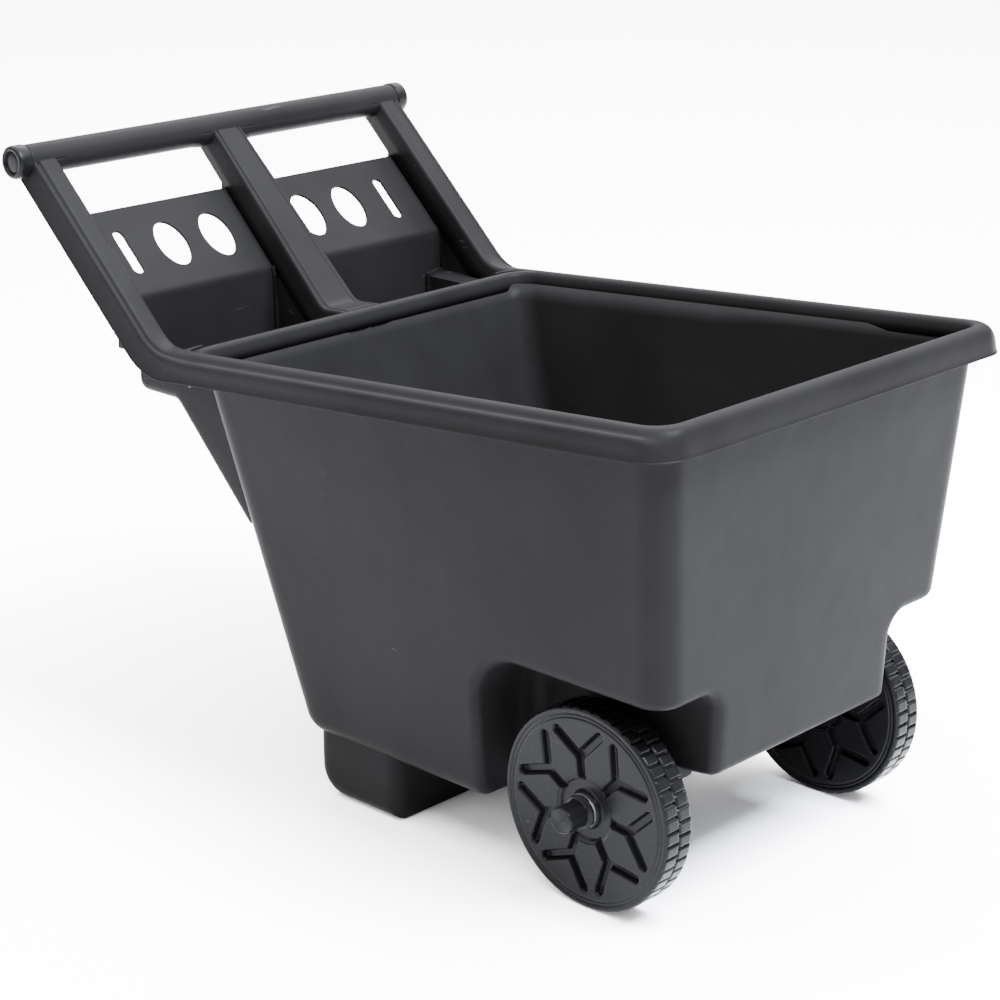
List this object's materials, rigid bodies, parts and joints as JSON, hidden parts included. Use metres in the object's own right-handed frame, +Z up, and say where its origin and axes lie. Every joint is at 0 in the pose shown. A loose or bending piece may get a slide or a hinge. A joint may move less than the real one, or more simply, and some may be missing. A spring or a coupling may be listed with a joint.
{
  "type": "garden cart",
  "caption": "Moulded plastic garden cart with a tapered hopper, rolled rim, sloping handle frame with tool trays, rear rest foot and two plastic wheels on an axle.",
  "frame": {"origin": "on the ground, under the middle of the whole cart's bounding box", "axes": "+X forwards, from the handle to the hopper's front; +Y to the user's left; +Z up"},
  "size_m": [0.781, 0.493, 0.5673],
  "materials": {
    "black_poly": "satin moulded polyethylene with a fine grain",
    "black_trim": "satin moulded plastic",
    "wheel_plastic": "semi-gloss moulded plastic",
    "plated_steel": "zinc plated"
  },
  "bodies": {
    "cart": {"hopper": "black_poly", "rim": "black_poly", "rear_foot": "black_poly", "grip_bar": "black_poly", "post_right": "black_poly", "post_left": "black_poly", "post_middle": "black_poly", "tool_tray_right": "black_poly", "tool_tray_left": "black_poly", "bar_cap_right": "black_trim", "bar_cap_left": "black_trim", "axle": "plated_steel", "axle_saddle_right": "black_poly", "axle_saddle_left": "black_poly", "axle_spacer_right": "black_trim", "axle_spacer_left": "black_trim", "inner_washer_right": "plated_steel", "inner_washer_left": "plated_steel", "outer_washer_right": "plated_steel", "outer_washer_left": "plated_steel", "hub_cap_right": "wheel_plastic", "hub_cap_left": "wheel_plastic"},
    "right_wheel": {"wheel_outer_half_right": "wheel_plastic", "wheel_inner_half_right": "wheel_plastic", "hub_sleeve_right": "black_trim"},
    "left_wheel": {"wheel_outer_half_left": "wheel_plastic", "wheel_inner_half_left": "wheel_plastic", "hub_sleeve_left": "black_trim"}
  },
  "joints": [
    {"name": "right_wheel_spin", "type": "hinge", "parent": "cart", "child": "right_wheel", "pos_m": [0.26449, -0.159, 0.089], "axis": [0, 1, 0], "continuous": true},
    {"name": "left_wheel_spin", "type": "hinge", "parent": "cart", "child": "left_wheel", "pos_m": [0.26449, 0.159, 0.089], "axis": [0, 1, 0], "continuous": true}
  ]
}
